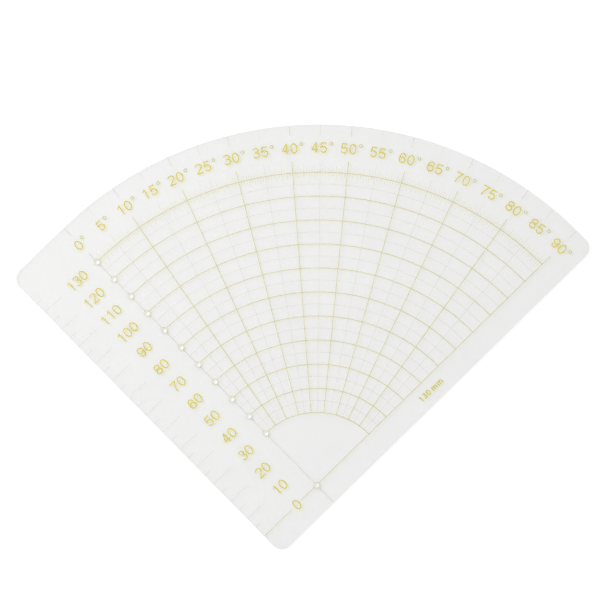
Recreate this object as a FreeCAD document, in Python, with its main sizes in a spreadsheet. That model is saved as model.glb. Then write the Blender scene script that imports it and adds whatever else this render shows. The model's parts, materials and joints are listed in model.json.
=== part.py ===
"""Flat fan-shaped angle and radius template: a clear sheet with a printed scale and pencil holes.

Frame: +Z up, origin at the middle of the pole hole on the underside of the sheet.
+Y runs along the 0 degree line, +X along the 90 degree line, and angles grow clockwise from +Y.
"""

import FreeCAD, Part
import math
import os

import Sketcher

Vector = FreeCAD.Vector
Rotation = FreeCAD.Rotation
Placement = FreeCAD.Placement
ORIGIN = Vector(0, 0, 0)
UP = Vector(0, 0, 1)

# alias, millimetres unless the name says otherwise
DIMENSIONS = [
    ("sheet_thickness", 1.0),
    ("rim_radius", 150.0),
    ("left_margin", 30.0),
    ("lower_margin", 10.0),
    ("corner_radius", 4.5),
    ("tip_radius", 5.0),
    ("edge_break", 0.15),
    ("hole_radius", 1.1),
    ("ring_inner_radius", 1.15),
    ("ring_radius", 1.32),
    ("first_radius", 30.0),
    ("last_radius", 130.0),
    ("radius_step", 10.0),
    ("line_reach", 135.0),
    ("angle_step_deg", 10.0),
    ("ink_height", 0.01),
    ("ink_inset", 0.2),
    ("ink_gap", 0.02),
    ("bold_width", 0.2),
    ("fine_width", 0.08),
    ("tick_width", 0.1),
    ("long_rim_tick_width", 0.16),
    ("short_rim_tick_width", 0.08),
    ("half_tick_reach", 1.6),
    ("whole_tick_reach", 2.8),
    ("rim_tick_start", 145.4),
    ("long_edge_tick", 9.7),
    ("short_edge_tick", 3.3),
    ("zero_gap_start", -14.3),
    ("zero_gap_end", -9.0),
    ("digit_height", 4.3),
    ("digit_width", 2.85),
    ("stroke_width", 0.4),
    ("degree_baseline", 138.15),
    ("degree_pitch", 3.58),
    ("degree_sign_pitch", 3.22),
    ("degree_sign_radius", 0.74),
    ("degree_sign_rise", 0.15),
    ("degree_sign_stroke", 0.26),
    ("degree_shift", 1.08),
    ("radius_pitch", 3.42),
    ("radius_centre", -11.35),
    ("mark_digit_height", 2.4),
    ("mark_digit_width", 1.6),
    ("mark_digit_pitch", 2.05),
    ("mark_letter_height", 1.75),
    ("mark_letter_width", 2.5),
    ("mark_letter_pitch", 3.05),
    ("mark_stroke_width", 0.36),
    ("mark_space", 0.7),
    ("mark_centre", 60.8),
    ("mark_baseline", -6.1),
]

doc = FreeCAD.newDocument("AngleTemplate")


# ---------------------------------------------------------------- dimensions


def make_sheet():
    """The spreadsheet that drives every size."""
    sheet = doc.addObject("Spreadsheet::Sheet", "Dims")
    for row, (alias, value) in enumerate(DIMENSIONS, start=1):
        sheet.set(f"A{row}", alias)
        sheet.set(f"B{row}", str(value))
        sheet.setAlias(f"B{row}", alias)
    doc.recompute()
    return sheet


sheet = make_sheet()


def dim(alias):
    return float(sheet.get(alias))


def radius_count():
    """How many bold arcs there are."""
    return round((dim("last_radius") - dim("first_radius")) / dim("radius_step")) + 1


def angle_count():
    """How many angle steps a quarter turn has."""
    return round(90 / dim("angle_step_deg"))


# ------------------------------------------------------------ shared helpers


def body(label):
    made = doc.addObject("PartDesign::Body", label)
    made.Label = label
    return made


def sketch_on(owner, name, height="0", turn=0.0):
    """A sketch on the body's XY plane, lifted to a height and turned clockwise by some degrees."""
    made = owner.newObject("Sketcher::SketchObject", name)
    plane = next(f for f in owner.Origin.OriginFeatures if f.Role == "XY_Plane")
    made.AttachmentSupport = (plane, [""])
    made.MapMode = "FlatFace"
    made.AttachmentOffset = Placement(ORIGIN, Rotation(UP, -turn))
    made.setExpression("AttachmentOffset.Base.z", height)
    return made


def bind(sketch, constraint, expression):
    """Add a datum constraint and bind it to the spreadsheet."""
    index = sketch.addConstraint(constraint)
    sketch.setExpression(f"Constraints[{index}]", expression)


def read(expression):
    """The value of an expression in the spreadsheet's terms."""
    return float(sheet.evalExpression(expression))


def rectangle(sketch, left, right, low, high):
    """A rectangle whose four sides are expressions, measured from the sketch's origin."""
    x0, x1, y0, y1 = (read(side) for side in (left, right, low, high))
    corners = [Vector(x0, y0), Vector(x1, y0), Vector(x1, y1), Vector(x0, y1)]
    first = sketch.GeometryCount
    for k in range(4):
        sketch.addGeometry(Part.LineSegment(corners[k], corners[(k + 1) % 4]))
    for k in range(4):
        sketch.addConstraint(Sketcher.Constraint("Coincident", first + k, 2, first + (k + 1) % 4, 1))
    for k in (0, 2):
        sketch.addConstraint(Sketcher.Constraint("Horizontal", first + k))
    for k in (1, 3):
        sketch.addConstraint(Sketcher.Constraint("Vertical", first + k))
    bind(sketch, Sketcher.Constraint("DistanceX", -1, 1, first, 1, x0), left)
    bind(sketch, Sketcher.Constraint("DistanceX", -1, 1, first, 2, x1), right)
    bind(sketch, Sketcher.Constraint("DistanceY", -1, 1, first, 1, y0), low)
    bind(sketch, Sketcher.Constraint("DistanceY", -1, 1, first + 2, 1, y1), high)


def ink_pad(owner, sketch):
    pad = owner.newObject("PartDesign::Pad", sketch.Name + "_pad")
    pad.Profile = sketch
    pad.setExpression("Length", "Dims.ink_height")
    return pad


def polar(owner, pads, axis_sketch, step, count):
    """Repeat the pads clockwise about the pole."""
    made = owner.newObject("PartDesign::PolarPattern", owner.Name + "_turn")
    made.Originals = pads
    made.Axis = (axis_sketch, ["N_Axis"])
    made.Reversed = True
    made.Angle = step * (count - 1)
    made.Occurrences = count
    made.Refine = False
    owner.Tip = made


def linear(owner, feature, axis_sketch, length, count):
    """Repeat a feature along +Y."""
    made = owner.newObject("PartDesign::LinearPattern", owner.Name + "_row")
    made.Originals = [feature]
    made.Direction = (axis_sketch, ["V_Axis"])
    made.setExpression("Length", length)
    made.Occurrences = count
    owner.Tip = made
    return made


# ----------------------------------------------------------------- the sheet


def outline(sketch):
    """Quarter circle with a margin to the left and below, all corners still sharp."""
    rim, left, low = dim("rim_radius"), -dim("left_margin"), -dim("lower_margin")
    tip, top, side = Vector(left, rim), Vector(0, rim), Vector(rim, 0)
    lower_right, lower_left = Vector(rim, low), Vector(left, low)
    arc = Part.ArcOfCircle(Part.Circle(ORIGIN, UP, rim), 0, math.pi / 2)
    rim_arc = sketch.addGeometry(arc)
    lines = [(top, tip), (tip, lower_left), (lower_left, lower_right), (lower_right, side)]
    edges = [sketch.addGeometry(Part.LineSegment(a, b)) for a, b in lines]
    chain = [(rim_arc, 2, edges[0], 1), (edges[3], 2, rim_arc, 1)]
    chain += [(edges[k], 2, edges[k + 1], 1) for k in range(3)]
    for link in chain:
        sketch.addConstraint(Sketcher.Constraint("Coincident", *link))
    sketch.addConstraint(Sketcher.Constraint("Coincident", rim_arc, 3, -1, 1))
    sketch.addConstraint(Sketcher.Constraint("PointOnObject", rim_arc, 1, -1))
    sketch.addConstraint(Sketcher.Constraint("PointOnObject", rim_arc, 2, -2))
    for k, way in zip(edges, ("Horizontal", "Vertical", "Horizontal", "Vertical")):
        sketch.addConstraint(Sketcher.Constraint(way, k))
    bind(sketch, Sketcher.Constraint("Radius", rim_arc, rim), "Dims.rim_radius")
    bind(sketch, Sketcher.Constraint("DistanceX", -1, 1, edges[1], 1, left), "-Dims.left_margin")
    bind(sketch, Sketcher.Constraint("DistanceY", -1, 1, edges[1], 2, low), "-Dims.lower_margin")


def upright_edges(shape, corners):
    """Names of the vertical edges that stand at these corners."""
    names = []
    for number, edge in enumerate(shape.Edges, start=1):
        middle = edge.CenterOfMass
        upright = edge.BoundBox.ZLength > 0.9 * dim("sheet_thickness")
        if upright and any(math.dist((middle.x, middle.y), c) < 0.01 for c in corners):
            names.append(f"Edge{number}")
    return names


def rounded(owner, base, name, corners, radius):
    made = owner.newObject("PartDesign::Fillet", name)
    made.Base = (base, upright_edges(base.Shape, corners))
    made.setExpression("Radius", radius)
    doc.recompute()
    return made


def broken_edges(owner, base):
    """A small chamfer round the outline, above and below."""
    faces = [
        f"Face{n}" for n, face in enumerate(base.Shape.Faces, start=1) if face.BoundBox.ZLength < 0.01
    ]
    made = owner.newObject("PartDesign::Chamfer", "edge_break")
    made.Base = (base, faces)
    made.setExpression("Size", "Dims.edge_break")
    doc.recompute()
    return made


def drilled(owner, name, centre):
    """A hole straight through at x = 0, and the sketch that draws it."""
    sketch = sketch_on(owner, name, "Dims.sheet_thickness")
    y, r = read(centre), dim("hole_radius")
    circle = sketch.addGeometry(Part.Circle(Vector(0, y), UP, r))
    bind(sketch, Sketcher.Constraint("Radius", circle, r), "Dims.hole_radius")
    sketch.addConstraint(Sketcher.Constraint("PointOnObject", circle, 3, -2))
    bind(sketch, Sketcher.Constraint("DistanceY", -1, 1, circle, 3, y), centre)
    before = owner.Shape.Volume
    pocket = owner.newObject("PartDesign::Pocket", name + "_drill")
    pocket.Profile = sketch
    pocket.Type = "ThroughAll"
    doc.recompute()
    assert owner.Shape.Volume < before, f"{name} cut nothing"
    return pocket, sketch


def fan_sheet():
    made = body("fan_sheet")
    sketch = sketch_on(made, "fan_outline")
    outline(sketch)
    pad = made.newObject("PartDesign::Pad", "fan_pad")
    pad.Profile = sketch
    pad.setExpression("Length", "Dims.sheet_thickness")
    doc.recompute()
    left, low, rim = -dim("left_margin"), -dim("lower_margin"), dim("rim_radius")
    tip = rounded(made, pad, "tip_round", [(left, rim)], "Dims.tip_radius")
    corners = rounded(made, tip, "corner_round", [(left, low), (rim, low)], "Dims.corner_radius")
    broken_edges(made, corners)
    drilled(made, "pole_hole", "0")
    pocket, drawn = drilled(made, "pencil_hole", "Dims.first_radius")
    linear(made, pocket, drawn, "Dims.last_radius - Dims.first_radius", radius_count())
    return made


# ------------------------------------------------- printed arcs and straight lines


def cylinder(name, radius, angle=360):
    """An ink-high cylinder about the pole, standing on the sheet, over an angle from +X."""
    made = doc.addObject("Part::Cylinder", name)
    made.setExpression("Radius", radius)
    made.setExpression("Height", "Dims.ink_height")
    made.Angle = angle
    made.setExpression("Placement.Base.z", "Dims.sheet_thickness")
    return made


def bar(name, start, end, width, turn=0.0):
    """A straight line through the pole's axis, from start to end along +Y turned clockwise."""
    made = doc.addObject("Part::Box", name)
    made.setExpression("Length", width)
    made.setExpression("Width", f"{end} - ({start})")
    made.setExpression("Height", "Dims.ink_height")
    turned = Rotation(UP, -turn)
    corner = turned.multVec(Vector(-read(width) / 2, read(start), dim("sheet_thickness")))
    made.Placement = Placement(corner, turned)
    return made


def cut(name, base, tool):
    made = doc.addObject("Part::Cut", name)
    made.Label = name
    made.Base = base
    made.Tool = tool
    return made


def group(name, members):
    made = doc.addObject("Part::Compound", name)
    made.Label = name
    made.Links = members
    return made


def quarter_rings(name, first, count, width):
    """Quarter-circle lines of one width, a radius step apart."""
    made = []
    for n in range(count):
        radius = f"{first} + {n} * Dims.radius_step"
        outer = cylinder(f"{name}_outer{n}", f"{radius} + {width} / 2", 90)
        inner = cylinder(f"{name}_inner{n}", f"{radius} - {width} / 2", 90)
        made.append(cut(f"{name}{n}", outer, inner))
    return made


def fan_bars(name, turns, width):
    """Straight lines outward from just inside the innermost arc, one for each angle."""
    start = f"Dims.first_radius - {width} / 2 - Dims.ink_gap"
    return [bar(f"{name}{k}", start, "Dims.line_reach", width, turn) for k, turn in enumerate(turns)]


def hole_discs():
    """A disc over every hole, out to the edge of its printed ring."""
    places = ["0"] + [f"Dims.first_radius + {n} * Dims.radius_step" for n in range(radius_count())]
    made = []
    for n, place in enumerate(places):
        disc = cylinder(f"hole_disc{n}", "Dims.ring_radius")
        bore = cylinder(f"hole_bore{n}", "Dims.ring_inner_radius")
        for round_piece in (disc, bore):
            round_piece.setExpression("Placement.Base.y", place)
        made.append((disc, bore))
    return made


def grid():
    """Arcs, radial lines and hole rings. Where two lines cross one of them is cut, so none overlap."""
    bold, fine = "Dims.bold_width", "Dims.fine_width"
    step = dim("angle_step_deg")
    turns = [step * k for k in range(1, angle_count())]
    half_turns = [step * (k + 0.5) for k in range(angle_count())]

    discs = hole_discs()
    rings = group("hole_rings", [cut(f"hole_ring{n}", *pair) for n, pair in enumerate(discs)])
    stops = group("hole_stops", [disc for disc, _ in discs])

    low_end = "Dims.ink_inset - Dims.lower_margin"
    upright = bar("upright_bar", low_end, "Dims.line_reach", bold)
    zero_line = cut("zero_degree_line", upright, stops)

    left_end = "Dims.ink_inset - Dims.left_margin"
    right = bar("level_right", "Dims.ring_radius", "Dims.line_reach", bold, 90)
    middle = bar("level_middle", "Dims.zero_gap_end", "-Dims.ring_radius", bold, 90)
    left = bar("level_left", left_end, "Dims.zero_gap_start", bold, 90)
    ninety_line = group("ninety_degree_line", [right, middle, left])

    bold_bars = fan_bars("bold_bar", turns, bold)
    bold_lines = group("radial_lines_10deg", bold_bars)
    bold_rings = group("bold_rings", quarter_rings("bold_ring", "Dims.first_radius", radius_count(), bold))
    crossing = bold_bars + [upright, right]
    bold_arcs = cut("radius_arcs_10mm", bold_rings, group("bold_stops", crossing + [stops]))

    fine_bars = fan_bars("fine_bar", half_turns, fine)
    fine_lines = cut("radial_lines_5deg", group("fine_bars", fine_bars), bold_rings)
    between = "Dims.first_radius + Dims.radius_step / 2"
    fine_rings = group("fine_rings", quarter_rings("fine_ring", between, radius_count() - 1, fine))
    fine_arcs = cut("radius_arcs_5mm", fine_rings, group("fine_stops", crossing + fine_bars))
    return [rings, zero_line, ninety_line, bold_lines, bold_arcs, fine_lines, fine_arcs]


# ------------------------------------------------------------- printed ticks


def upright_tick(owner, name, low, high, width, turn):
    """A tick that points at the pole, turned clockwise from +Y, between two radii."""
    sketch = sketch_on(owner, name, "Dims.sheet_thickness", turn)
    rectangle(sketch, f"-{width} / 2", f"{width} / 2", low, high)
    return sketch, ink_pad(owner, sketch)


def comb(label, first_turns, step, count, reach):
    """Ticks that cross the last arc, split in two where it runs."""
    made = body(label)
    clear = "Dims.bold_width / 2 + Dims.ink_gap"
    pads = []
    for k, turn in enumerate(first_turns):
        spans = [
            (f"Dims.last_radius - {reach}", f"Dims.last_radius - ({clear})"),
            (f"Dims.last_radius + {clear}", f"Dims.last_radius + {reach}"),
        ]
        for side, (low, high) in zip(("in", "out"), spans):
            sketch, pad = upright_tick(made, f"{label}_{side}{k}", low, high, "Dims.tick_width", turn)
            pads.append(pad)
    doc.recompute()
    polar(made, pads, sketch, step, count)
    return made


def rim_ticks(label, first_turn, count, width):
    """Short ticks in from the rim."""
    made = body(label)
    far = "Dims.rim_radius - Dims.ink_inset"
    sketch, pad = upright_tick(made, label + "_first", "Dims.rim_tick_start", far, width, first_turn)
    doc.recompute()
    polar(made, [pad], sketch, dim("angle_step_deg"), count)
    return made


def edge_ticks(label, first, count, length):
    """Ticks in from the left edge, a radius step apart."""
    made = body(label)
    sketch = sketch_on(made, label + "_first", "Dims.sheet_thickness")
    sides = ("Dims.ink_inset - Dims.left_margin", f"{length} - Dims.left_margin")
    rectangle(sketch, *sides, f"{first} - Dims.tick_width / 2", f"{first} + Dims.tick_width / 2")
    pad = ink_pad(made, sketch)
    doc.recompute()
    linear(made, pad, sketch, f"{count - 1} * Dims.radius_step", count)
    return made


def ticks():
    step = dim("angle_step_deg")
    count = angle_count()
    edge_count = round(dim("last_radius") / dim("radius_step"))
    return [
        comb("half_degree_ticks", [0.5], 1, 90, "Dims.half_tick_reach"),
        comb("whole_degree_ticks", [1, 2, 3, 4], step / 2, 2 * count, "Dims.whole_tick_reach"),
        rim_ticks("rim_ticks_10deg", 0, count + 1, "Dims.long_rim_tick_width"),
        rim_ticks("rim_ticks_5deg", step / 2, count, "Dims.short_rim_tick_width"),
        edge_ticks("edge_ticks_10mm", "Dims.radius_step", edge_count, "Dims.long_edge_tick"),
        edge_ticks("edge_ticks_5mm", "Dims.radius_step / 2", edge_count + 1, "Dims.short_edge_tick"),
    ]


# ---------------------------------------------------------- printed characters


def ellipse(cx, cy, rx, ry):
    """A filled ellipse."""
    curve = Part.Ellipse(ORIGIN, max(rx, ry), min(rx, ry))
    face = Part.Face(Part.Wire(curve.toShape()))
    if ry > rx:
        face.rotate(ORIGIN, UP, 90)
    face.translate(Vector(cx, cy, 0))
    return face


def bowl(cx, cy, rx, ry, stroke, start=0, sweep=360):
    """A round stroke with its outside on an ellipse, from a start angle over a sweep, in degrees."""
    ring = ellipse(cx, cy, rx, ry).cut(ellipse(cx, cy, rx - stroke, ry - stroke))
    if sweep == 360:
        return ring
    reach = 3 * max(rx, ry)
    turns = [math.radians(start + sweep * k / 4) for k in range(5)]
    corners = [Vector(cx, cy)]
    corners += [Vector(cx + reach * math.cos(a), cy + reach * math.sin(a)) for a in turns]
    wedge = Part.Face(Part.makePolygon(corners + corners[:1]))
    return ring.common(wedge)


def stick(x0, y0, x1, y1, stroke):
    """A straight stroke with square ends."""
    along = Vector(x1 - x0, y1 - y0)
    side = along.cross(UP).normalize() * (stroke / 2)
    start, end = Vector(x0, y0), Vector(x1, y1)
    corners = [start + side, end + side, end - side, start - side]
    return Part.Face(Part.makePolygon(corners + corners[:1]))


def inked(strokes):
    """The solids that a character's flat strokes print, with their underside at z = 0."""
    solids = [stroke.extrude(Vector(0, 0, dim("ink_height"))) for stroke in strokes]
    if len(solids) == 1:
        return solids[0].Solids
    return solids[0].multiFuse(solids[1:]).removeSplitter().Solids


def digit_strokes(tall, wide, s):
    """The strokes of the ten digits, flat, each digit standing on y = 0 with its middle at x = 0."""
    half, edge = wide / 2, (wide - s) / 2
    six = [
        bowl(0, 0.315 * tall, half, 0.315 * tall, s),
        bowl(0, tall / 2, half, tall / 2, s, 35, 160),
    ]
    nine = [piece.copy() for piece in six]
    for piece in nine:
        piece.rotate(Vector(0, tall / 2, 0), UP, 180)
    return {
        "0": [bowl(0, tall / 2, half, tall / 2, s)],
        "1": [
            stick(0.11 * wide, 0, 0.11 * wide, tall, s),
            stick(0.11 * wide, tall - 0.6 * s, -0.28 * wide, 0.76 * tall, 0.9 * s),
        ],
        "2": [
            bowl(0, 0.71 * tall, half, 0.29 * tall, s, -38, 208),
            stick(0.345 * wide, 0.585 * tall, -0.4 * wide, 0.08 * tall, s),
            stick(-half, s / 2, half, s / 2, s),
        ],
        "3": [
            bowl(0, 0.745 * tall, 0.46 * wide, 0.255 * tall, s, -90, 255),
            bowl(0, 0.29 * tall, half, 0.29 * tall, s, -165, 255),
            stick(-0.2 * wide, 0.535 * tall, 0.02 * wide, 0.535 * tall, 0.09 * tall),
        ],
        "4": [
            stick(0.2 * wide, 0, 0.2 * wide, tall, s),
            stick(-half, 0.29 * tall, half, 0.29 * tall, s),
            stick(0.14 * wide, 0.96 * tall, -0.4 * wide, 0.29 * tall, s),
        ],
        "5": [
            bowl(0, 0.325 * tall, half, 0.325 * tall, s, -160, 297),
            stick(-0.33 * wide, tall - s / 2, 0.42 * wide, tall - s / 2, s),
            stick(-0.3 * wide, tall - s / 2, -0.39 * wide, 0.44 * tall, s),
        ],
        "6": six,
        "7": [
            stick(-half, tall - s / 2, half, tall - s / 2, s),
            stick(edge, tall - s / 2, -0.06 * wide, 0.42 * tall, s),
            stick(-0.05 * wide, 0.46 * tall, -0.18 * wide, 0, s),
        ],
        "8": [
            bowl(0, 0.745 * tall, 0.46 * wide, 0.255 * tall, s),
            bowl(0, 0.29 * tall, half, 0.29 * tall, s),
        ],
        "9": nine,
    }


def letter_m():
    """The strokes of a small m, flat, standing on y = 0 with its middle at x = 0."""
    tall, wide, s = dim("mark_letter_height"), dim("mark_letter_width"), dim("mark_stroke_width")
    arch = (wide + s) / 4
    pieces = [stick(x, 0, x, tall - arch, s) for x in (0, wide / 2 - s / 2)]
    pieces.append(stick(s / 2 - wide / 2, 0, s / 2 - wide / 2, tall, s))
    pieces += [bowl(side * (arch - s / 2), tall - arch, arch, arch, s, 0, 180) for side in (-1, 1)]
    return pieces


def placed(solids, x, y, turn=0.0):
    """Copies at x, y, then turned clockwise about the pole."""
    made = [solid.copy() for solid in solids]
    for solid in made:
        solid.translate(Vector(x, y, 0))
        solid.rotate(ORIGIN, UP, -turn)
    return made


def print_node(label, solids):
    """A printed node on top of the sheet."""
    made = doc.addObject("Part::Feature", label)
    made.Label = label
    made.Shape = Part.makeCompound(solids)
    made.Placement = Placement(Vector(0, 0, dim("sheet_thickness")), Rotation())
    return made


def row_of(count, pitch, centre):
    """The middles of evenly spaced characters."""
    return [centre + (k - (count - 1) / 2) * pitch for k in range(count)]


def degree_scale(digits):
    """Numbers and degree signs outside the last arc, each upright on its own radius."""
    radius, base = dim("degree_sign_radius"), dim("degree_baseline")
    height = dim("digit_height") + dim("degree_sign_rise") - radius
    sign = inked([bowl(0, height, radius, radius, dim("degree_sign_stroke"))])
    numbers, signs = [], []
    for value in range(0, 91, 5):
        text = str(value)
        length = (len(text) - 1) * dim("degree_pitch") + dim("degree_sign_pitch")
        start = dim("degree_shift") - length / 2
        for k, character in enumerate(text):
            numbers += placed(digits[character], start + k * dim("degree_pitch"), base, value)
        signs += placed(sign, start + length, base, value)
    return [print_node("degree_numerals", numbers), print_node("degree_signs", signs)]


def radius_scale(digits):
    """Numbers beside the 0 degree line, level with the arcs they name."""
    solids = []
    step = round(dim("radius_step"))
    for value in range(0, round(dim("last_radius")) + 1, step):
        text = str(value)
        places = row_of(len(text), dim("radius_pitch"), dim("radius_centre"))
        for x, character in zip(places, text):
            solids += placed(digits[character], x, value - dim("digit_height") / 2)
    return print_node("radius_numerals", solids)


def size_mark():
    """The last radius and its unit, below the 90 degree line."""
    strokes = digit_strokes(dim("mark_digit_height"), dim("mark_digit_width"), dim("mark_stroke_width"))
    text = str(round(dim("last_radius")))
    letter = inked(letter_m())
    digits_length = len(text) * dim("mark_digit_pitch")
    letters_length = 2 * dim("mark_letter_pitch")
    start = dim("mark_centre") - (digits_length + dim("mark_space") + letters_length) / 2
    solids = []
    for x, character in zip(row_of(len(text), dim("mark_digit_pitch"), start + digits_length / 2), text):
        solids += placed(inked(strokes[character]), x, dim("mark_baseline"))
    letters_centre = start + digits_length + dim("mark_space") + letters_length / 2
    for x in row_of(2, dim("mark_letter_pitch"), letters_centre):
        solids += placed(letter, x, dim("mark_baseline"))
    return print_node("size_mark", solids)


def characters():
    strokes = digit_strokes(dim("digit_height"), dim("digit_width"), dim("stroke_width"))
    digits = {digit: inked(pieces) for digit, pieces in strokes.items()}
    return degree_scale(digits) + [radius_scale(digits), size_mark()]


# --------------------------------------------------------------------- output


def write(nodes):
    """Check every object, then write each node's STEP file."""
    doc.recompute()
    for item in doc.Objects:
        assert not {"Invalid", "Error"} & set(item.State), f"{item.Name} failed: {item.State}"
    for node in nodes:
        assert not node.Shape.isNull() and node.Shape.isValid(), f"{node.Label} has no valid shape"
    os.makedirs("parts", exist_ok=True)
    for node in nodes:
        node.Shape.exportStep(os.path.join("parts", node.Label + ".step"))
        volumes = [solid.Volume for solid in node.Shape.Solids]
        print(node.Label, len(volumes), "solids", round(sum(volumes), 3), "mm3")


write([fan_sheet()] + grid() + ticks() + characters())
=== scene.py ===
"""The looks of a flat fan-shaped angle and radius template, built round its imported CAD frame.

Everything is in metres, in the frame's own axes.
"""

import json
import math

import bmesh
import bpy
from mathutils import Matrix, Vector


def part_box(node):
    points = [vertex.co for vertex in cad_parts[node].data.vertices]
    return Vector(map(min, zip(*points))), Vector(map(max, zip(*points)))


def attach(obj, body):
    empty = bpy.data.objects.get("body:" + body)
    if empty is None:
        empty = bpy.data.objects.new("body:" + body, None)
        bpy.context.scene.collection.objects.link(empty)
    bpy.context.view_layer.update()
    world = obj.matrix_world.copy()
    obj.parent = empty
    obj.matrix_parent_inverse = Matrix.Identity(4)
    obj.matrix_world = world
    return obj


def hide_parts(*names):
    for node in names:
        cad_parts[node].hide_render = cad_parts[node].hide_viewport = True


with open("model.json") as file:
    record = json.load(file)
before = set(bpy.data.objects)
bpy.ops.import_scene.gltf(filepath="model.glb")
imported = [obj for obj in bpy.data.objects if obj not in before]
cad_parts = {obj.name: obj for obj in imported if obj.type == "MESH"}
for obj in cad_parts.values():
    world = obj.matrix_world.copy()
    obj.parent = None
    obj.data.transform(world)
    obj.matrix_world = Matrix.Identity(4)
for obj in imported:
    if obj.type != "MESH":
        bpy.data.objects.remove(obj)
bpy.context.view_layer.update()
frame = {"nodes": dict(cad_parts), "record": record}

MM = 0.001

# ------------------------------------------------------------ sizes from the frame

SHEET_LOW, SHEET_HIGH = (Vector(corner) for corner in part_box("fan_sheet"))
SHEET_MIDDLE = (SHEET_LOW + SHEET_HIGH) / 2
SHEET_TOP = SHEET_HIGH.z
RIM_RADIUS = SHEET_HIGH.x
HOLES = [mount for mount in frame["record"]["mounts"] if mount["kind"] == "bore"]

# ------------------------------------------------------------------ the sheet's shape

CORNER_RADIUS = 4.5 * MM
TIP_RADIUS = 5.0 * MM
EDGE_ROUND = 0.15 * MM
EDGE_SEGMENTS = 3
RIM_STEPS, CORNER_STEPS, HOLE_STEPS = 240, 20, 48
RIM_ANGLE = math.radians(80)  # faces that turn by more than this meet at a rim
FLAT_NORMAL_Z = 0.999  # a face whose normal is at least this steep is flat
WALL_NORMAL_Z = 0.2  # and one whose normal is less steep than this is a wall

# ------------------------------------------------------------- table, light and camera

FLOOR_DROP = 0.1 * MM
FLOOR_RADIUS = 8.0
FLOOR_SIDES = 96
WORLD_STRENGTH = 0.925
KEY_PLACE = Vector((-0.22, 0.72, 0.84))
KEY_SIZE = 0.6
KEY_WATTS = 5.5

# a long lens nearly overhead; angles in degrees, heading clockwise from +Y
LENS_MM = 300
SENSOR_MM = 36
CAMERA_AIM = Vector((48.7, 59.6, 1.0)) * MM
CAMERA_DISTANCE = 2.0615
CAMERA_HEADING = 27.3
CAMERA_ELEVATION = 82.05
CAMERA_ROLL = -17.2

# ----------------------------------------------------------------- plastic and inks

PLASTIC_IOR = 1.49

# each ink: the CAD nodes it prints, the light that one of its faces lets through, and its own colour
INKS = {
    "gold": (["degree_numerals", "radius_numerals"], (0.93, 0.882, 0.18), (0.74, 0.65, 0.05)),
    "mark": (["size_mark"], (0.89, 0.855, 0.07), (0.66, 0.59, 0.02)),
    "line": (
        ["radius_arcs_10mm", "radial_lines_10deg", "degree_signs"],
        (0.873, 0.858, 0.46),
        (0.62, 0.57, 0.18),
    ),
    "side": (["ninety_degree_line"], (0.88, 0.87, 0.53), (0.61, 0.57, 0.23)),
    "axis": (["zero_degree_line"], (0.933, 0.926, 0.83), (0.62, 0.60, 0.44)),
    "fine": (
        [
            "radius_arcs_5mm",
            "radial_lines_5deg",
            "edge_ticks_10mm",
            "edge_ticks_5mm",
            "rim_ticks_10deg",
        ],
        (0.931, 0.928, 0.862),
        (0.58, 0.57, 0.47),
    ),
    "faint": (["rim_ticks_5deg"], (0.952, 0.95, 0.90), (0.62, 0.61, 0.52)),
    "pale": (["hole_rings"], (0.972, 0.953, 0.66), (0.80, 0.755, 0.42)),
    "tick": (["half_degree_ticks", "whole_degree_ticks"], (0.996, 0.981, 0.83), (0.89, 0.845, 0.50)),
}
INK_BODY = 0.2  # how much of an ink is body, the rest being glaze
THICK_SPOT = 0.97  # how much of the glaze's light a thicker spot of ink passes
DARK_SPOT = 0.88  # how bright a darker spot of ink is


# ------------------------------------------------------------------- node helpers


def new_material(name):
    """An empty node material. Returns the material, its tree and its output node."""
    made = bpy.data.materials.new(name)
    made.use_nodes = True
    tree = made.node_tree
    tree.nodes.clear()
    return made, tree, tree.nodes.new("ShaderNodeOutputMaterial")


def noise(tree, scale, detail, roughness=0.5, stretch=(1, 1, 1)):
    """Noise in object space, at so many bumps to the metre, times the stretch along each axis."""
    place = tree.nodes.new("ShaderNodeTexCoord")
    mapping = tree.nodes.new("ShaderNodeMapping")
    mapping.inputs["Scale"].default_value = stretch
    made = tree.nodes.new("ShaderNodeTexNoise")
    made.inputs["Scale"].default_value = scale
    made.inputs["Detail"].default_value = detail
    made.inputs["Roughness"].default_value = roughness
    tree.links.new(place.outputs["Object"], mapping.inputs["Vector"])
    tree.links.new(mapping.outputs["Vector"], made.inputs["Vector"])
    return made.outputs["Fac"]


def ramp(tree, value, low, high, colours):
    """Turn a value between low and high into a colour between two."""
    made = tree.nodes.new("ShaderNodeValToRGB")
    for element, place, colour in zip(made.color_ramp.elements, (low, high), colours):
        element.position = place
        element.color = (*colour, 1)
    tree.links.new(value, made.inputs["Fac"])
    return made.outputs["Color"]


def spread(tree, value, low, high):
    """Map a noise's usual range, 0.3 to 0.7, to one between low and high."""
    made = tree.nodes.new("ShaderNodeMapRange")
    for name, number in (("From Min", 0.3), ("From Max", 0.7), ("To Min", low), ("To Max", high)):
        made.inputs[name].default_value = number
    tree.links.new(value, made.inputs["Value"])
    return made.outputs["Result"]


def bump(tree, height, distance):
    """Bumps up to a distance high."""
    made = tree.nodes.new("ShaderNodeBump")
    made.inputs["Distance"].default_value = distance
    tree.links.new(height, made.inputs["Height"])
    return made.outputs["Normal"]


def mix_shaders(tree, factor, first, second):
    """Two shaders mixed, with factor as the second one's share."""
    made = tree.nodes.new("ShaderNodeMixShader")
    made.inputs["Fac"].default_value = factor
    tree.links.new(first, made.inputs[1])
    tree.links.new(second, made.inputs[2])
    return made.outputs["Shader"]


def plastic(tree, base, roughness, normal, alpha):
    """A see-through plastic surface from its base colour, roughness, bumps and alpha."""
    made = tree.nodes.new("ShaderNodeBsdfPrincipled")
    made.inputs["IOR"].default_value = PLASTIC_IOR
    tree.links.new(base, made.inputs["Base Color"])
    tree.links.new(roughness, made.inputs["Roughness"])
    tree.links.new(normal, made.inputs["Normal"])
    tree.links.new(alpha, made.inputs["Alpha"])
    return made.outputs["BSDF"]


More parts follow.
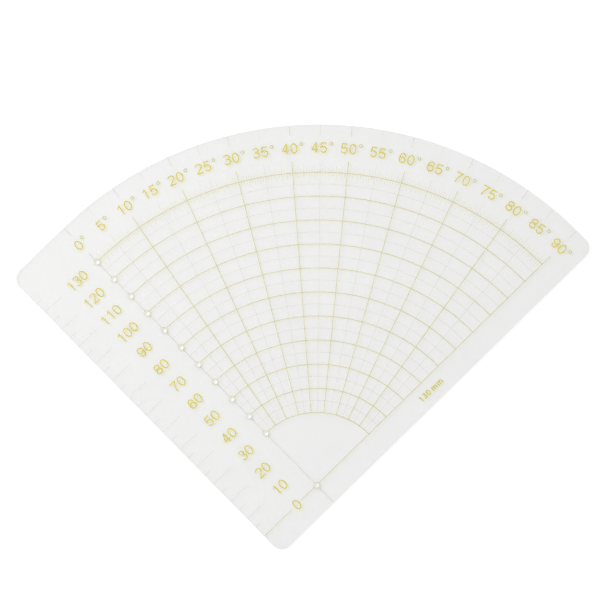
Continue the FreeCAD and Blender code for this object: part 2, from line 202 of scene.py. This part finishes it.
# ---------------------------------------------------------------------- materials


def clear_face():
    """Clear thermoplastic face: a little haze, and a soft gloss with fine rubbed marks."""
    made, tree, output = new_material("clear_face")
    cloud = noise(tree, 60, 4)
    rubbed = noise(tree, 900, 5, 0.6, (1.0, 6.0, 1.0))
    surface = plastic(
        tree,
        base=ramp(tree, cloud, 0.35, 0.65, [(0.427, 0.425, 0.42), (0.467, 0.465, 0.46)]),
        roughness=spread(tree, rubbed, 0.16, 0.26),
        normal=bump(tree, rubbed, 0.002 * MM),
        alpha=spread(tree, cloud, 0.118, 0.126),
    )
    tree.links.new(surface, output.inputs["Surface"])
    return made


def clear_edge():
    """The sheet's cut edge: finely milled and less clear than the faces, with a darker grey that is
    painted shade for the dark look of a clear cut edge.
    """
    made, tree, output = new_material("clear_edge")
    milled = noise(tree, 2500, 3, 0.6, (1.0, 1.0, 0.15))
    surface = plastic(
        tree,
        # this base's darker grey is painted shade, standing in for the dark look of a clear sheet's
        # cut edge
        base=ramp(tree, milled, 0.3, 0.7, [(0.34, 0.36, 0.35), (0.46, 0.48, 0.47)]),
        roughness=spread(tree, milled, 0.3, 0.5),
        normal=bump(tree, milled, 0.01 * MM),
        alpha=spread(tree, milled, 0.24, 0.32),
    )
    tree.links.new(surface, output.inputs["Surface"])
    return made


def hole_wall():
    """The wall of a drilled hole: frosted by the drill, with fine rings round it, and grey and nearly
    opaque so that the hole looks darker inside, which is painted shade.
    """
    made, tree, output = new_material("hole_wall")
    turned = noise(tree, 2500, 3, 0.6, (0.15, 0.15, 1.0))
    surface = plastic(
        tree,
        # this grey base and the low clearness below are partly painted shade, darkening the inside of
        # the hole
        base=ramp(tree, turned, 0.3, 0.7, [(0.58, 0.59, 0.58), (0.68, 0.69, 0.68)]),
        roughness=spread(tree, turned, 0.4, 0.6),
        normal=bump(tree, turned, 0.01 * MM),
        alpha=spread(tree, turned, 0.66, 0.78),
    )
    tree.links.new(surface, output.inputs["Surface"])
    return made


def ink(name, passed, colour):
    """Screen-printed ink: a thin glaze that tints what is behind it, with a little mottled body."""
    made, tree, output = new_material(f"{name}_ink")
    mottle = noise(tree, 1400, 4, 0.6)
    glaze = tree.nodes.new("ShaderNodeBsdfTransparent")
    thick = tuple(channel * THICK_SPOT for channel in passed)
    tree.links.new(ramp(tree, mottle, 0.35, 0.65, [thick, passed]), glaze.inputs["Color"])
    film = tree.nodes.new("ShaderNodeBsdfPrincipled")
    darker = tuple(channel * DARK_SPOT for channel in colour)
    tree.links.new(ramp(tree, mottle, 0.35, 0.65, [darker, colour]), film.inputs["Base Color"])
    tree.links.new(spread(tree, mottle, 0.42, 0.60), film.inputs["Roughness"])
    tree.links.new(bump(tree, mottle, 0.004 * MM), film.inputs["Normal"])
    mixed = mix_shaders(tree, INK_BODY, glaze.outputs["BSDF"], film.outputs["BSDF"])
    tree.links.new(mixed, output.inputs["Surface"])
    return made


def white_table():
    """Matt white card, a little uneven."""
    made, tree, output = new_material("white_table")
    card = tree.nodes.new("ShaderNodeBsdfDiffuse")
    paper = noise(tree, 30, 2)
    shade = ramp(tree, paper, 0.3, 0.7, [(0.90, 0.90, 0.90), (0.91, 0.91, 0.91)])
    tree.links.new(shade, card.inputs["Color"])
    tree.links.new(card.outputs["BSDF"], output.inputs["Surface"])
    return made


# --------------------------------------------------------------------- the sheet


def arc_points(centre, radius, start, end, count):
    """Points on an arc from a start to an end angle in degrees, counter-clockwise from +X."""
    turns = [math.radians(start + (end - start) * k / count) for k in range(count + 1)]
    return [centre + radius * Vector((math.cos(a), math.sin(a))) for a in turns]


def outline():
    """The fan's edge, counter-clockwise from the 90 degree side, with its three rounded corners."""
    left, low = SHEET_LOW.x, SHEET_LOW.y
    tip = Vector((left + TIP_RADIUS, RIM_RADIUS - TIP_RADIUS))
    lower_left = Vector((left + CORNER_RADIUS, low + CORNER_RADIUS))
    lower_right = Vector((RIM_RADIUS - CORNER_RADIUS, low + CORNER_RADIUS))
    points = arc_points(Vector((0, 0)), RIM_RADIUS, 0, 90, RIM_STEPS)
    points += arc_points(tip, TIP_RADIUS, 90, 180, CORNER_STEPS)
    points += arc_points(lower_left, CORNER_RADIUS, 180, 270, CORNER_STEPS)
    points += arc_points(lower_right, CORNER_RADIUS, 270, 360, CORNER_STEPS)
    return points


def hole_rims():
    """The edge of every hole, from the record's bores."""
    rims = []
    for hole in HOLES:
        centre = Vector(hole["pos_m"][:2])
        circle = arc_points(centre, hole["dims"]["r_mm"] * MM, 0, 360, HOLE_STEPS)
        rims.append(circle[:-1])
    return rims


def in_hole(point):
    """Whether a point of the sheet's walls is on a hole, not on the outline."""
    reach = 2 * HOLES[0]["dims"]["r_mm"] * MM
    return any((point.xy - Vector(hole["pos_m"][:2])).length < reach for hole in HOLES)


def build_sheet():
    """The clear sheet with smooth curves and softly broken edges, in place of its CAD node."""
    mesh = bpy.data.meshes.new("clear_fan")
    made = bmesh.new()
    loops = []
    for points in [outline()] + hole_rims():
        corners = [made.verts.new((p.x, p.y, SHEET_TOP)) for p in points]
        count = len(corners)
        loops.append([made.edges.new((corners[k], corners[(k + 1) % count])) for k in range(count)])
    edges = [edge for loop in loops for edge in loop]
    top = bmesh.ops.triangle_fill(made, use_beauty=True, use_dissolve=False, edges=edges)
    faces = [item for item in top["geom"] if isinstance(item, bmesh.types.BMFace)]
    bmesh.ops.recalc_face_normals(made, faces=faces)
    raised = bmesh.ops.extrude_face_region(made, geom=faces)
    lowered = [item for item in raised["geom"] if isinstance(item, bmesh.types.BMVert)]
    bmesh.ops.translate(made, verts=lowered, vec=(0, 0, -SHEET_TOP))
    bmesh.ops.recalc_face_normals(made, faces=made.faces)
    bmesh.ops.bevel(
        made,
        geom=[edge for edge in made.edges if edge.calc_face_angle() > RIM_ANGLE],
        offset=EDGE_ROUND,
        segments=EDGE_SEGMENTS,
        profile=0.5,
        affect="EDGES",
        clamp_overlap=True,
    )
    for face in made.faces:
        face.smooth = abs(face.normal.z) < FLAT_NORMAL_Z
        if abs(face.normal.z) < WALL_NORMAL_Z:
            face.material_index = 2 if in_hole(face.calc_center_median()) else 1
    made.to_mesh(mesh)
    made.free()
    for material in (clear_face(), clear_edge(), hole_wall()):
        mesh.materials.append(material)
    piece = bpy.data.objects.new("clear_fan", mesh)
    bpy.context.collection.objects.link(piece)
    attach(piece, "root")
    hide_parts("fan_sheet")


def print_inks():
    """Give every printed CAD node its ink."""
    for name, (nodes, passed, colour) in INKS.items():
        material = ink(name, passed, colour)
        for node in nodes:
            frame["nodes"][node].data.materials.clear()
            frame["nodes"][node].data.materials.append(material)


# --------------------------------------------------------- table, light and camera


def build_floor():
    """A plain white table top, just clear of the sheet's underside."""
    mesh = bpy.data.meshes.new("table_top")
    made = bmesh.new()
    bmesh.ops.create_circle(made, cap_ends=True, segments=FLOOR_SIDES, radius=FLOOR_RADIUS)
    bmesh.ops.translate(made, verts=made.verts, vec=(0, 0, -FLOOR_DROP))
    made.to_mesh(mesh)
    made.free()
    mesh.materials.append(white_table())
    floor = bpy.data.objects.new("table_top", mesh)
    bpy.context.collection.objects.link(floor)


def build_light():
    """An even white studio, and a softbox high on the 0 degree side that faces the sheet's middle."""
    world = bpy.data.worlds.new("studio")
    world.use_nodes = True
    background = world.node_tree.nodes["Background"]
    background.inputs["Color"].default_value = (1, 1, 1, 1)
    background.inputs["Strength"].default_value = WORLD_STRENGTH
    bpy.context.scene.world = world
    light = bpy.data.lights.new("key_softbox", "AREA")
    light.size = KEY_SIZE
    light.energy = KEY_WATTS
    softbox = bpy.data.objects.new("key_softbox", light)
    softbox.location = KEY_PLACE
    softbox.rotation_euler = (SHEET_MIDDLE - KEY_PLACE).to_track_quat("-Z", "Y").to_euler()
    bpy.context.collection.objects.link(softbox)


def build_camera():
    """A long lens almost straight above, turned so that the scale's 45 degree line points up."""
    heading = math.radians(CAMERA_HEADING)
    elevation = math.radians(CAMERA_ELEVATION)
    forward = Vector(
        (
            math.sin(heading) * math.cos(elevation),
            math.cos(heading) * math.cos(elevation),
            -math.sin(elevation),
        )
    )
    roll = Matrix.Rotation(math.radians(CAMERA_ROLL), 3, -forward)
    right = roll @ forward.cross(Vector((0, 0, 1))).normalized()
    up = right.cross(forward)
    camera = bpy.data.objects.new("camera", bpy.data.cameras.new("camera"))
    camera.data.lens = LENS_MM
    camera.data.sensor_width = SENSOR_MM
    place = CAMERA_AIM - forward * CAMERA_DISTANCE
    turn = Matrix((right, up, -forward)).transposed()
    camera.matrix_world = Matrix.LocRotScale(place, turn, None)
    bpy.context.collection.objects.link(camera)
    bpy.context.scene.camera = camera


build_sheet()
print_inks()
build_floor()
build_light()
build_camera()
bpy.context.scene.view_settings.view_transform = "Standard"
